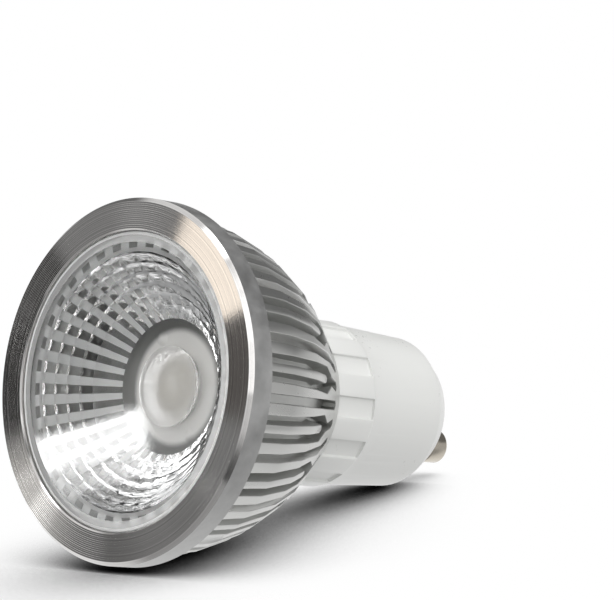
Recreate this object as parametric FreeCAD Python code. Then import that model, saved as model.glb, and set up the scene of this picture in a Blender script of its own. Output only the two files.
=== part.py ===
# Two-pin twist-lock spotlight lamp: finned aluminium body, turned front ring, clear faceted lens,
# chip-on-board emitter and a driver board inside a white moulded base.
# Millimetres. Z = 0 is the front face of the ring, +Z runs along the lamp axis to the contact pins.
# The pieces are drawn with the pins in line along X, and turned so that the pins lie along Y.

import FreeCAD
import Part
import math
import os

V = FreeCAD.Vector
ORIGIN = V(0, 0, 0)
AXIS = V(0, 0, 1)
FULL_TURN = 360.0
PIN_LINE_ANGLE = 90.0

# Clearances shared by the pieces that seat in one another
FIT_CLEARANCE = 0.1
SCREW_CLEARANCE = 0.03
PIN_CLEARANCE = 0.05
PART_GAP = 0.1

# Turned front ring
RING_DIAMETER = 50.0
RING_HEIGHT = 4.0
RING_FACE_WIDTH = 4.45
RING_LIP = 1.2
RING_SKIRT_WALL = 2.0
RING_CHAMFER = 0.55

# Clear moulded lens
LENS_FLANGE_THICKNESS = 1.6
LENS_BODY_DIAMETER = 35.6
LENS_FOOT_DIAMETER = 18.8
LENS_DEPTH = 15.8
LENS_SECTOR_COUNT = 36
LENS_STEP_COUNT = 6
LENS_WELL_DIAMETER = 11.2
LENS_WELL_SIDE = 0.8
LENS_WELL_HEIGHT = 3.2
LENS_WELL_STEP_COUNT = 3

# Emitter board and what lies under it
LENS_TO_BOARD = 1.2
LED_BOARD_THICKNESS = 1.5
LED_BOARD_MARGIN = 0.3
THERMAL_PAD_THICKNESS = 0.3
THERMAL_PAD_WIDTH = 12.0
DAM_DIAMETER = 9.8
DAM_WALL = 0.6
DAM_HEIGHT = 0.7
PHOSPHOR_HEIGHT = 0.6

# Finned aluminium body
FIN_FOOT_STEP = 1.2
FIN_PROFILE_RADIUS = 35.0
FIN_PROFILE_STEP_COUNT = 4
GAP_FLOOR_STEP_COUNT = 2
FIN_LENGTH = 23.0
FIN_FOOT_LAND = 0.4
FIN_DEPTH_FOOT = 2.3
FIN_DEPTH_NECK = 2.6
FIN_PAIR_COUNT = 18
GAP_WIDTH = 1.25
GAP_END_CHAMFER = 0.35
FORK_LEG_WIDTH = 1.25
SHORT_FIN_WIDTH = 1.2
SHORT_FIN_CHAMFER = 0.35
SHORT_FIN_SHARE = 0.68
FORK_SLOPE_LENGTH = 1.6
FORK_CROTCH = 0.5
COLLAR_HEIGHT = 3.2
COLLAR_STEP = 0.25
NECK_WALL = 1.3
DRIVER_BORE_DIAMETER = 21.6
BOWL_MOUTH_WALL = 2.7
BOWL_FLOOR_DIAMETER = 29.0
BOWL_FLOOR_THICKNESS = 3.0

# White moulded base
BASE_HEIGHT = 26.0
BASE_SHOULDER = 1.25
BASE_BAND_HEIGHT = 8.0
BASE_BAND_STEP = 0.3
BASE_TAPER = 0.75
BASE_CHAMFER_HEIGHT = 3.2
BASE_CHAMFER_WIDTH = 2.0
BASE_WALL = 1.3
BASE_TOP_WALL = 3.2
BASE_GROOVE_COUNT = 12
BASE_GROOVE_WIDTH = 2.9
BASE_GROOVE_DEPTH = 0.25
RAIL_THICKNESS = 1.0
RAIL_REACH = 1.3
POST_DIAMETER = 4.4
POST_HEIGHT = 7.0
POST_SPACING = 16.0

# Contact pins
PIN_SPACING = 10.0
PIN_HEAD_DIAMETER = 5.0
PIN_HEAD_HEIGHT = 3.4
PIN_NECK_DIAMETER = 3.1
PIN_NECK_HEIGHT = 2.7
PIN_EDGE_BREAK = 0.35
PIN_RIVET_DIAMETER = 4.2
PIN_RIVET_HEIGHT = 0.7

# Screws
HOUSING_SCREW_DIAMETER = 2.0
HOUSING_SCREW_GRIP = 5.0
HOUSING_SCREW_HEAD_DIAMETER = 4.2
HOUSING_SCREW_HEAD_HEIGHT = 1.6
HOUSING_SCREW_HEAD_SIDE_COUNT = 6

# Driver board, its wires and its components
DRIVER_BOARD_THICKNESS = 1.2
DRIVER_BOARD_LENGTH = 26.5
DRIVER_BOARD_LIFT = 0.5
MAINS_WIRE_DIAMETER = 1.2
MAINS_WIRE_LAP = 4.5
LED_WIRE_DIAMETER = 1.1
LED_WIRE_LAP = 4.5
LED_WIRE_STUB = 0.2
WIRE_SIDE_COUNT = 8
LEAD_WIDTH = 0.6
LEAD_REACH = 0.8
COMPONENT_SPACING = 1.2
FUSE_DIAMETER = 3.4
FUSE_LENGTH = 8.0
CAPACITOR_DIAMETER = 6.3
INPUT_CAPACITOR_LENGTH = 9.0
OUTPUT_CAPACITOR_LENGTH = 8.0
CAPACITOR_LEAD_SINK = 0.4
CAPACITOR_LEAD_SPACING = 2.5
CORE_WIDTH = 8.2
CORE_HEIGHT = 9.6
CORE_DEPTH = 4.4
CORE_LIMB = 1.1
CORE_CENTRE_LIMB = 2.4
WINDING_DEPTH = 7.0
WINDING_ROUND = 1.0
CHIP_SIZE = (4.9, 1.6, 3.9)
BRIDGE_SIZE = (4.7, 2.4, 4.0)
DIODE_SIZE = (2.6, 2.2, 4.3)
CHIP_LEG_COUNT = 4
BRIDGE_LEG_COUNT = 2
DIODE_LEG_COUNT = 1
CHIP_LEG_REACH = 0.9
CHIP_LEG_WIDTH = 0.5
CHIP_LEG_THICKNESS = 0.2
CHIP_BACK_OFFSET = 6.0

# Places along the axis that several pieces share
lens_front_z = RING_LIP
lens_back_z = lens_front_z + LENS_FLANGE_THICKNESS
lens_foot_z = lens_front_z + LENS_DEPTH
led_board_z = lens_foot_z + LENS_TO_BOARD
thermal_pad_z = led_board_z + LED_BOARD_THICKNESS
floor_z = thermal_pad_z + THERMAL_PAD_THICKNESS
floor_back_z = floor_z + BOWL_FLOOR_THICKNESS
neck_z = RING_HEIGHT + FIN_LENGTH
collar_z = neck_z + COLLAR_HEIGHT
base_band_z = collar_z + BASE_BAND_HEIGHT
base_top_z = collar_z + BASE_HEIGHT
base_chamfer_z = base_top_z - BASE_CHAMFER_HEIGHT
base_roof_z = base_top_z - BASE_TOP_WALL
spigot_end_z = floor_back_z + FIT_CLEARANCE
driver_board_z = spigot_end_z + DRIVER_BOARD_LIFT
driver_board_top_z = driver_board_z + DRIVER_BOARD_LENGTH

# Radii that several pieces share
ring_radius = RING_DIAMETER / 2
ring_opening_radius = ring_radius - RING_FACE_WIDTH
ring_skirt_radius = ring_radius - RING_SKIRT_WALL
seat_radius = ring_skirt_radius - FIT_CLEARANCE
bore_radius = DRIVER_BORE_DIAMETER / 2
fin_foot_radius = ring_radius - FIN_FOOT_STEP
neck_core_radius = bore_radius + NECK_WALL
neck_radius = neck_core_radius + FIN_DEPTH_NECK
bowl_mouth_radius = seat_radius - BOWL_MOUTH_WALL
bowl_floor_radius = BOWL_FLOOR_DIAMETER / 2
base_radius = bore_radius + BASE_SHOULDER
collar_radius = base_radius + COLLAR_STEP
spigot_radius = bore_radius - FIT_CLEARANCE
base_bore_radius = spigot_radius - BASE_WALL
led_board_radius = bowl_floor_radius - LED_BOARD_MARGIN
driver_face_y = -MAINS_WIRE_DIAMETER / 2 - PART_GAP / 2
driver_back_y = driver_face_y - DRIVER_BOARD_THICKNESS
led_wire_x = base_bore_radius - RAIL_REACH - PART_GAP - LED_WIRE_DIAMETER / 2

# Centres of the screw pair, the wire pair and the pin pair
housing_screw_centres = [V(0, side * POST_SPACING / 2, 0) for side in (-1, 1)]
led_wire_centres = [V(side * led_wire_x, 0, 0) for side in (-1, 1)]
pin_centres = [V(side * PIN_SPACING / 2, 0, 0) for side in (-1, 1)]


def closed_wire(points):
    """Wire of straight runs through points and back to the first."""
    return Part.makePolygon(list(points) + [points[0]])


def section(corners):
    """Points of a side view whose corners are (distance from the axis, height)."""
    return [V(u, 0, v) for u, v in corners]


def turned(corners, centre=ORIGIN):
    """Solid of revolution about a line along Z through centre."""
    solid = Part.Face(closed_wire(section(corners))).revolve(ORIGIN, AXIS, FULL_TURN)
    solid.translate(centre)
    return solid


def polygon_ring(radius, z, sides, centre=ORIGIN):
    """Corners of a level regular polygon."""
    turns = [2 * math.pi * i / sides for i in range(sides)]
    return [centre + V(radius * math.cos(t), radius * math.sin(t), z) for t in turns]


def faceted(rings):
    """Solid with plane facets between polygon rings that have the same number of corners."""
    faces = [Part.Face(closed_wire(ring)) for ring in (rings[0], rings[-1])]
    for low, high in zip(rings, rings[1:]):
        for i in range(len(low)):
            faces.append(Part.Face(closed_wire([low[i - 1], low[i], high[i], high[i - 1]])))
    return Part.Solid(Part.makeShell(faces))


def rod(radius, z0, z1, centre=ORIGIN):
    """Upright cylinder between two heights."""
    return Part.makeCylinder(radius, z1 - z0, V(centre.x, centre.y, z0), AXIS)


def block(x, y, z):
    """Box between (low, high) pairs along X, Y and Z."""
    return Part.makeBox(x[1] - x[0], y[1] - y[0], z[1] - z[0], V(x[0], y[0], z[0]))


def around(shape, count):
    """Copies of a shape, evenly spaced round the lamp axis."""
    copies = []
    for i in range(count):
        copy = shape.copy()
        copy.rotate(ORIGIN, AXIS, FULL_TURN * i / count)
        copies.append(copy)
    return copies


def outward_curve(start, stop, radius, steps):
    """Corners of even straight runs along an arc between two profile corners, bulging away from the axis."""
    chord = math.dist(start, stop)
    out = ((stop[1] - start[1]) / chord, (start[0] - stop[0]) / chord)
    depth = math.sqrt(radius ** 2 - chord ** 2 / 4)
    centre = [(start[i] + stop[i]) / 2 - out[i] * depth for i in range(2)]
    first, last = [math.atan2(p[1] - centre[1], p[0] - centre[0]) for p in (start, stop)]
    turns = [first + (last - first) * i / steps for i in range(1, steps)]
    between = [(centre[0] + radius * math.cos(t), centre[1] + radius * math.sin(t)) for t in turns]
    return [start] + between + [stop]


def front_ring():
    """Turned ring whose lip holds the lens and whose skirt sits on the body's spigot."""
    return turned([
        (ring_opening_radius, 0),
        (ring_radius - RING_CHAMFER, 0),
        (ring_radius, RING_CHAMFER),
        (ring_radius, RING_HEIGHT),
        (ring_skirt_radius, RING_HEIGHT),
        (ring_skirt_radius, RING_LIP),
        (ring_opening_radius, RING_LIP),
    ])


def lens_step(share):
    """Polygon of the lens wall: share 0 is at the foot, 1 at the flange, on a parabola between them."""
    foot, body = LENS_FOOT_DIAMETER / 2, LENS_BODY_DIAMETER / 2
    radius = math.sqrt(foot ** 2 + (body ** 2 - foot ** 2) * share)
    return polygon_ring(radius, lens_foot_z + (lens_back_z - lens_foot_z) * share, LENS_SECTOR_COUNT)


def lens():
    """Flanged lens with a faceted wall that narrows to its foot and a domed well over the emitter."""
    flange = rod(seat_radius, lens_front_z, lens_back_z)
    wall = faceted([lens_step(i / LENS_STEP_COUNT) for i in range(LENS_STEP_COUNT + 1)])
    well_radius = LENS_WELL_DIAMETER / 2
    dome_height = LENS_WELL_HEIGHT - LENS_WELL_SIDE
    dome_radius = (well_radius ** 2 + dome_height ** 2) / (2 * dome_height)
    top, edge = (0, lens_foot_z - LENS_WELL_HEIGHT), (well_radius, lens_foot_z - LENS_WELL_SIDE)
    dome = outward_curve(top, edge, dome_radius, LENS_WELL_STEP_COUNT)
    well = turned(dome + [(well_radius, lens_foot_z), (0, lens_foot_z)])
    return flange.fuse(wall).cut(well)


def fin_curve(foot_radius, top_radius, steps):
    """Side view of the bell that the fins or their gap floors follow, from the ring to the neck."""
    foot, top = (foot_radius, RING_HEIGHT), (top_radius, neck_z)
    return outward_curve(foot, top, FIN_PROFILE_RADIUS, steps)


def gap_tool(outline, core):
    """Cutter for one gap: an outline across the fins, pushed out from the axis and stopped at the core."""
    face = Part.Face(closed_wire([V(0, t, z) for t, z in outline]))
    return face.extrude(V(ring_radius, 0, 0)).cut(core)


def straight_gap(core):
    """Gap between the two long fins of a pair, with a chamfered upper end."""
    half = GAP_WIDTH / 2
    foot = RING_HEIGHT + FIN_FOOT_LAND
    end, shoulder = half - GAP_END_CHAMFER, neck_z - GAP_END_CHAMFER
    return gap_tool([
        (-half, foot), (half, foot), (half, shoulder), (end, neck_z), (-end, neck_z), (-half, shoulder),
    ], core)


def forked_gap(core):
    """Gap between two pairs: one slot at the neck that forks round a short fin lower down."""
    half, fin = GAP_WIDTH / 2, SHORT_FIN_WIDTH / 2
    leg = fin + FORK_LEG_WIDTH
    foot = RING_HEIGHT + FIN_FOOT_LAND
    fin_top = foot + FIN_LENGTH * SHORT_FIN_SHARE
    fork = fin_top + FORK_CROTCH
    right = [
        (fin - SHORT_FIN_CHAMFER, fin_top), (fin, fin_top - SHORT_FIN_CHAMFER), (fin, foot), (leg, foot),
        (leg, fork), (half, fork + FORK_SLOPE_LENGTH), (half, neck_z - GAP_END_CHAMFER),
        (half - GAP_END_CHAMFER, neck_z),
    ]
    left = [(-t, z) for t, z in reversed(right)]
    return gap_tool(right + left, core)


def fin_gaps():
    """Cutters for all the gaps, straight and forked by turns, each with a flat floor."""
    floor = fin_curve(fin_foot_radius - FIN_DEPTH_FOOT, neck_core_radius, GAP_FLOOR_STEP_COUNT)
    side = Part.Face(closed_wire(section(floor + [(0, neck_z), (0, RING_HEIGHT)])))
    side.translate(V(0, -ring_radius, 0))
    core = side.extrude(V(0, RING_DIAMETER, 0))
    fork = forked_gap(core)
    fork.rotate(ORIGIN, AXIS, FULL_TURN / FIN_PAIR_COUNT / 2)
    return around(straight_gap(core), FIN_PAIR_COUNT) + around(fork, FIN_PAIR_COUNT)


def led_wire_holes(z0, z1):
    """Square holes that the two emitter wires pass through."""
    half = LED_WIRE_DIAMETER / 2 + PART_GAP
    return [block((c.x - half, c.x + half), (c.y - half, c.y + half), (z0, z1)) for c in led_wire_centres]


def screw_head(radius, centre):
    """Hexagon prism sunk in the bowl floor: a screw's head, or the pocket that it drops into."""
    heights = (floor_z, floor_z + HOUSING_SCREW_HEAD_HEIGHT)
    return faceted([polygon_ring(radius, z, HOUSING_SCREW_HEAD_SIDE_COUNT, centre) for z in heights])


def heat_sink():
    """Finned body: a faceted bell on a spigot, with a bowl for the lens and a bore for the base."""
    bell = fin_curve(fin_foot_radius, neck_radius, FIN_PROFILE_STEP_COUNT) + [(collar_radius, collar_z)]
    body = faceted([polygon_ring(radius, z, 2 * FIN_PAIR_COUNT) for radius, z in bell])
    bowl = turned([
        (0, lens_back_z), (bowl_mouth_radius, lens_back_z), (bowl_floor_radius, floor_z), (0, floor_z)])
    holes = [bowl, rod(bore_radius, floor_back_z, collar_z)]
    for centre in housing_screw_centres:
        holes.append(rod(HOUSING_SCREW_DIAMETER / 2 + FIT_CLEARANCE, floor_z, floor_back_z, centre))
        holes.append(screw_head(HOUSING_SCREW_HEAD_DIAMETER / 2 + FIT_CLEARANCE, centre))
    holes += led_wire_holes(floor_z, floor_back_z)
    return body.fuse(rod(seat_radius, lens_back_z, RING_HEIGHT)).cut(fin_gaps()).cut(holes)


def led_board():
    """Aluminium-core board that carries the emitter, with holes for its two wires."""
    return rod(led_board_radius, led_board_z, thermal_pad_z).cut(led_wire_holes(led_board_z, thermal_pad_z))


def thermal_pad():
    """Sticky heat pad that holds the board to the bowl floor."""
    half = THERMAL_PAD_WIDTH / 2
    return block((-half, half), (-half, half), (thermal_pad_z, floor_z))


def led_dam():
    """Silicone ring that holds the phosphor."""
    outside = rod(DAM_DIAMETER / 2, led_board_z - DAM_HEIGHT, led_board_z)
    return outside.cut(rod(DAM_DIAMETER / 2 - DAM_WALL, led_board_z - DAM_HEIGHT, led_board_z))


def led_phosphor():
    """Phosphor disc over the chips."""
    return rod(DAM_DIAMETER / 2 - DAM_WALL, led_board_z - PHOSPHOR_HEIGHT, led_board_z)


def housing_screw(centre):
    """Hexagon-head screw pointing up the lamp axis, its head sunk in the bowl floor."""
    shank = rod(HOUSING_SCREW_DIAMETER / 2, floor_z + HOUSING_SCREW_HEAD_HEIGHT,
                spigot_end_z + HOUSING_SCREW_GRIP, centre)
    return screw_head(HOUSING_SCREW_HEAD_DIAMETER / 2, centre).fuse(shank)


def housing_screws():
    """The two screws under the emitter board that hold the base in the body."""
    return Part.Compound([housing_screw(centre) for centre in housing_screw_centres])


def base_shell():
    """Turned form of the base: spigot, raised band, tapered body, sloped shoulder and roof."""
    body_radius = base_radius - BASE_BAND_STEP
    upper_radius = body_radius - BASE_TAPER
    return turned([
        (base_bore_radius, spigot_end_z), (spigot_radius, spigot_end_z), (spigot_radius, collar_z),
        (base_radius, collar_z), (base_radius, base_band_z - BASE_BAND_STEP), (body_radius, base_band_z),
        (upper_radius, base_chamfer_z), (upper_radius - BASE_CHAMFER_WIDTH, base_top_z),
        (0, base_top_z), (0, base_roof_z), (base_bore_radius, base_roof_z),
    ])


def base_groove():
    """Cutter for one shallow groove in the raised band."""
    depth_radius = base_radius - BASE_BAND_STEP - BASE_GROOVE_DEPTH
    half = BASE_GROOVE_WIDTH / 2
    return block((depth_radius, ring_radius), (-half, half), (collar_z, base_band_z - BASE_BAND_STEP))


def base_rails():
    """Two pairs of ribs on the bore wall that guide the driver board's edges."""
    wall = base_bore_radius + BASE_WALL / 2
    rails = []
    for side in (-1, 1):
        x = sorted((side * wall, side * (base_bore_radius - RAIL_REACH)))
        for y in (driver_back_y - FIT_CLEARANCE - RAIL_THICKNESS, driver_face_y + FIT_CLEARANCE):
            rails.append(block(x, (y, y + RAIL_THICKNESS), (driver_board_z, base_roof_z)))
    return rails


def base_housing():
    """White moulded base with its grooves, board rails, screw posts and pin holes."""
    post_end_z = spigot_end_z + POST_HEIGHT
    posts = [rod(POST_DIAMETER / 2, spigot_end_z, post_end_z, c) for c in housing_screw_centres]
    inside = rod(spigot_radius, spigot_end_z, base_roof_z)
    fittings = [piece.common(inside) for piece in posts + base_rails()]
    holes = [rod(HOUSING_SCREW_DIAMETER / 2 + SCREW_CLEARANCE, spigot_end_z,
                 spigot_end_z + HOUSING_SCREW_GRIP + FIT_CLEARANCE, c) for c in housing_screw_centres]
    holes += [rod(PIN_NECK_DIAMETER / 2 + PIN_CLEARANCE, base_roof_z, base_top_z, c) for c in pin_centres]
    shell = base_shell().cut(around(base_groove(), BASE_GROOVE_COUNT))
    return shell.fuse(fittings).cut(holes).removeSplitter()


def contact_pin(centre):
    """Turned contact pin: a wide head on a neck, riveted under the roof."""
    head, neck, rivet = PIN_HEAD_DIAMETER / 2, PIN_NECK_DIAMETER / 2, PIN_RIVET_DIAMETER / 2
    head_z = base_top_z + PIN_NECK_HEIGHT
    top_z = head_z + PIN_HEAD_HEIGHT
    rivet_z = base_roof_z - PIN_RIVET_HEIGHT
    return turned([
        (0, rivet_z), (rivet, rivet_z), (rivet, base_roof_z), (neck, base_roof_z), (neck, head_z),
        (head, head_z), (head, top_z - PIN_EDGE_BREAK), (head - PIN_EDGE_BREAK, top_z), (0, top_z),
    ], centre)


def driver_board():
    """Circuit board that stands between the rails of the base."""
    half = math.sqrt(base_bore_radius ** 2 - driver_back_y ** 2) - FIT_CLEARANCE
    return block((-half, half), (driver_back_y, driver_face_y), (driver_board_z, driver_board_top_z))


def wire_run(diameter, z0, z1, centre):
    """Upright run of wire with a few flat sides."""
    return faceted([polygon_ring(diameter / 2, z, WIRE_SIDE_COUNT, centre) for z in (z0, z1)])


def mains_wire(centre):
    """Wire from a contact pin's rivet down the face of the driver board."""
    rivet_z = base_roof_z - PIN_RIVET_HEIGHT
    return wire_run(MAINS_WIRE_DIAMETER, driver_board_top_z - MAINS_WIRE_LAP, rivet_z, centre)


def led_wire(centre):
    """Wire from the driver board through the bowl floor to the front of the emitter board."""
    return wire_run(LED_WIRE_DIAMETER, led_board_z - LED_WIRE_STUB, driver_board_z + LED_WIRE_LAP, centre)


# Heights of the rows of components on the driver board
fuse_z = driver_board_z + COMPONENT_SPACING + FUSE_DIAMETER / 2
capacitor_z = fuse_z + FUSE_DIAMETER / 2 + COMPONENT_SPACING + LEAD_REACH
transformer_z = capacitor_z + max(INPUT_CAPACITOR_LENGTH, OUTPUT_CAPACITOR_LENGTH) + COMPONENT_SPACING
core_y = driver_face_y + PART_GAP + WINDING_DEPTH / 2


def board_lead(x, z, height):
    """Square lead that stands on the face of the driver board."""
    half = LEAD_WIDTH / 2
    return block((x - half, x + half), (driver_face_y, driver_face_y + height), (z - half, z + half))


def fuse_resistor():
    """Fusible resistor lying across the board on its two bent leads."""
    axis_height = FUSE_DIAMETER / 2 + PART_GAP
    half = LEAD_WIDTH / 2
    y = driver_face_y + axis_height
    body = Part.makeCylinder(FUSE_DIAMETER / 2, FUSE_LENGTH, V(-FUSE_LENGTH / 2, y, fuse_z), V(1, 0, 0))
    reach = FUSE_LENGTH / 2 + LEAD_REACH
    lead = block((-reach, reach), (y - half, y + half), (fuse_z - half, fuse_z + half))
    legs = [board_lead(side * (reach - half), fuse_z, axis_height + half) for side in (-1, 1)]
    return body.fuse([lead] + legs).removeSplitter()


def capacitor(side, length):
    """Electrolytic capacitor lying along the board, its two leads bent down to the board."""
    radius = CAPACITOR_DIAMETER / 2
    axis_height = radius + PART_GAP
    centre = V(side * axis_height, driver_face_y + axis_height, 0)
    can = rod(radius, capacitor_z, capacitor_z + length, centre)
    half = LEAD_WIDTH / 2
    low = capacitor_z - LEAD_REACH
    pieces = []
    for lead in (-1, 1):
        x = centre.x + lead * CAPACITOR_LEAD_SPACING / 2
        pieces.append(block((x - half, x + half), (centre.y - half, centre.y + half),
                            (low, capacitor_z + CAPACITOR_LEAD_SINK)))
        pieces.append(board_lead(x, low + half, axis_height + half))
    return can.fuse(pieces).removeSplitter()


def transformer_core():
    """Ferrite core: two outer limbs and a centre limb between two yokes."""
    y = (core_y - CORE_DEPTH / 2, core_y + CORE_DEPTH / 2)
    top = transformer_z + CORE_HEIGHT
    frame = block((-CORE_WIDTH / 2, CORE_WIDTH / 2), y, (transformer_z, top))
    inner = CORE_WIDTH / 2 - CORE_LIMB
    windows = [block(sorted((side * CORE_CENTRE_LIMB / 2, side * inner)), y,
                     (transformer_z + CORE_LIMB, top - CORE_LIMB)) for side in (-1, 1)]
    return frame.cut(windows)


def transformer_winding():
    """Taped winding round the centre limb."""
    z = (transformer_z + CORE_LIMB + PART_GAP, transformer_z + CORE_HEIGHT - CORE_LIMB - PART_GAP)
    half = CORE_WIDTH / 2 - CORE_LIMB - PART_GAP
    hole = CORE_CENTRE_LIMB / 2 + PART_GAP
    depth = CORE_DEPTH / 2 + PART_GAP
    y = (core_y - WINDING_DEPTH / 2, core_y + WINDING_DEPTH / 2)
    bobbin = block((-half, half), y, z)
    upright = [e for e in bobbin.Edges if e.BoundBox.ZLength > e.BoundBox.XLength + e.BoundBox.YLength]
    bobbin = bobbin.makeFillet(WINDING_ROUND, upright)
    return bobbin.cut(block((-hole, hole), (core_y - depth, core_y + depth), z))


def legged_chip(size, z, legs):
    """Moulded package on the back of the driver board, standing on bent legs on its two sides."""
    width, height, length = size
    under = driver_back_y - PART_GAP
    pieces = []
    pitch = length / legs
    for side in (-1, 1):
        for i in range(legs):
            low = z + pitch * (2 * i + 1) / 2 - CHIP_LEG_WIDTH / 2
            span = (low, low + CHIP_LEG_WIDTH)
            foot = sorted((side * width / 2, side * (width / 2 + CHIP_LEG_REACH)))
            step = sorted((side * width / 2, side * (width / 2 + CHIP_LEG_THICKNESS)))
            pieces.append(block(foot, (driver_back_y - CHIP_LEG_THICKNESS, driver_back_y), span))
            pieces.append(block(step, (under - height / 2, driver_back_y), span))
    body = block((-width / 2, width / 2), (under - height, under), (z, z + length))
    return body.fuse(pieces).removeSplitter()


def rectifier_diode():
    """Output diode, nearest the emitter."""
    return legged_chip(DIODE_SIZE, driver_board_z + CHIP_BACK_OFFSET, DIODE_LEG_COUNT)


def driver_chip():
    """Switching controller, above the diode."""
    z = driver_board_z + CHIP_BACK_OFFSET + DIODE_SIZE[2] + COMPONENT_SPACING
    return legged_chip(CHIP_SIZE, z, CHIP_LEG_COUNT)


def bridge_rectifier():
    """Input rectifier, above the controller."""
    z = driver_board_z + CHIP_BACK_OFFSET + DIODE_SIZE[2] + CHIP_SIZE[2] + 2 * COMPONENT_SPACING
    return legged_chip(BRIDGE_SIZE, z, BRIDGE_LEG_COUNT)


PIECES = {
    "front_ring": front_ring,
    "lens": lens,
    "heat_sink": heat_sink,
    "led_board": led_board,
    "thermal_pad": thermal_pad,
    "led_dam": led_dam,
    "led_phosphor": led_phosphor,
    "housing_screws": housing_screws,
    "base_housing": base_housing,
    "contact_pin_left": lambda: contact_pin(pin_centres[0]),
    "contact_pin_right": lambda: contact_pin(pin_centres[1]),
    "driver_board": driver_board,
    "live_wire": lambda: mains_wire(pin_centres[0]),
    "neutral_wire": lambda: mains_wire(pin_centres[1]),
    "led_wire_positive": lambda: led_wire(led_wire_centres[0]),
    "led_wire_negative": lambda: led_wire(led_wire_centres[1]),
    "fuse_resistor": fuse_resistor,
    "input_capacitor": lambda: capacitor(-1, INPUT_CAPACITOR_LENGTH),
    "output_capacitor": lambda: capacitor(1, OUTPUT_CAPACITOR_LENGTH),
    "transformer_core": transformer_core,
    "transformer_winding": transformer_winding,
    "rectifier_diode": rectifier_diode,
    "driver_chip": driver_chip,
    "bridge_rectifier": bridge_rectifier,
}


def main():
    os.makedirs("parts", exist_ok=True)
    for name, make in PIECES.items():
        shape = make()
        shape.rotate(ORIGIN, AXIS, PIN_LINE_ANGLE)
        shape.exportStep(os.path.join("parts", name + ".step"))
        print(name, len(shape.Solids), "solids", round(shape.Volume, 2), "mm3", shape.isValid())


main()
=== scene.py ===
"""Looks of a two-pin spotlight lamp: turned front ring, clear faceted lens, finned body, white base.

Sizes in the classes are millimetres. Meshes are metres, in the frame of the solids: the ring's face
lies on Z = 0 and the pins stand up along +Z.
"""

import functools
import logging
import math
from collections.abc import Callable, Iterable, Sequence
from dataclasses import dataclass
from enum import Enum, IntEnum

import bmesh
import bpy
from mathutils import Matrix, Vector


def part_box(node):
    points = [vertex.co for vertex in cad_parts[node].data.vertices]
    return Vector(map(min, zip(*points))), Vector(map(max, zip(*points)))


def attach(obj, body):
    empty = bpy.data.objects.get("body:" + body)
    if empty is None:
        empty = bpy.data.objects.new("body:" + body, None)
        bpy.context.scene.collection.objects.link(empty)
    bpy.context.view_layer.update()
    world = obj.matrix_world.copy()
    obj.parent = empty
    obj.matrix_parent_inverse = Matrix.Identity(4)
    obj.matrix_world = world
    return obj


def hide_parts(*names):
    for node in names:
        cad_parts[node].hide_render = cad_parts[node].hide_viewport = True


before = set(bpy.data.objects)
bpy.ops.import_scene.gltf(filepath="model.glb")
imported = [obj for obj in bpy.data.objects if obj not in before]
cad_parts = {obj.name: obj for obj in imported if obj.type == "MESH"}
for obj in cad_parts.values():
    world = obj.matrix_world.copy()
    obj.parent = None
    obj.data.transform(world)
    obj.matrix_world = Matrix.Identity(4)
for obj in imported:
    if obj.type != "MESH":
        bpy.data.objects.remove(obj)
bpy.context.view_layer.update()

MM = 0.001
AXIS = Vector((0.0, 0.0, 1.0))
ORIGIN = Vector((0.0, 0.0, 0.0))
BODY = "root"
WELD_DISTANCE = 0.002 * MM
FLAT_ANGLE = math.radians(0.2)
SLACK = 0.01
FAR = 20.0
HALF_CLOCK = 6.0
QUARTER_TURN = 0.25
BROAD_SCALE = 0.08
WHITE = (1.0, 1.0, 1.0)
BLACK = (0.0, 0.0, 0.0)
LOG = logging.getLogger("spotlight_lamp")

Colour = tuple[float, float, float]
Range = tuple[float, float]
Tree = bpy.types.NodeTree
Node = bpy.types.Node
Socket = bpy.types.NodeSocket
Value = Socket | float
Mesh = bmesh.types.BMesh


class Slot(Enum):
    """Material slots of the part's record."""

    TURNED_ALUMINIUM = "turned_aluminium"
    CLEAR_LENS = "clear_lens"
    CAST_ALUMINIUM = "cast_aluminium"
    WHITE_SILICONE = "white_silicone"
    WHITE_PLASTIC = "white_plastic"
    NICKEL_PLATE = "nickel_plate"


class RingZone(IntEnum):
    """Zones of the ring, numbered as its finishes."""

    TURNED = 0
    BLASTED_SIDE = 1


class LensZone(IntEnum):
    """Zones of the lens, numbered as its finishes."""

    POLISHED = 0
    FROSTED_STRIP = 1
    DOME = 2
    FROSTED_EDGE = 3
    HAZY_EDGE = 4


class BodyZone(IntEnum):
    """Zones of the finned body, numbered as its finishes."""

    OUTSIDE = 0
    GAP = 1
    BOWL = 2


# Shader building blocks


def add_node(tree: Tree, kind: str, sockets: dict | None = None, **settings: object) -> Node:
    """Adds a node, sets its properties and fills its inputs.

    Args:
        tree: The node tree that gets the node.
        kind: The node's type name.
        sockets: Input name or index to a value, or to the output that feeds it.
        **settings: Properties of the node itself.

    Returns:
        The new node.
    """
    node = tree.nodes.new(kind)
    for key, value in settings.items():
        setattr(node, key, value)
    for key, value in (sockets or {}).items():
        if isinstance(value, Socket):
            tree.links.new(value, node.inputs[key])
        else:
            node.inputs[key].default_value = value
    return node


def math_node(tree: Tree, operation: str, *values: Value) -> Socket:
    """Adds a Math node fed by numbers or other nodes' outputs, and returns its output."""
    return add_node(tree, "ShaderNodeMath", dict(enumerate(values)), operation=operation).outputs[0]


def vector_node(tree: Tree, operation: str, *values: object) -> Node:
    """Adds a Vector Math node fed by vectors or other nodes' outputs, and returns it."""
    return add_node(tree, "ShaderNodeVectorMath", dict(enumerate(values)), operation=operation)


def smooth_step(tree: Tree, value: Socket, start: float, end: float) -> Socket:
    """Adds a smooth step from 0 at the start value to 1 at the end value, and returns it."""
    sockets = {"Value": value, "From Min": start, "From Max": end}
    return add_node(tree, "ShaderNodeMapRange", sockets, interpolation_type="SMOOTHSTEP").outputs[0]


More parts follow.
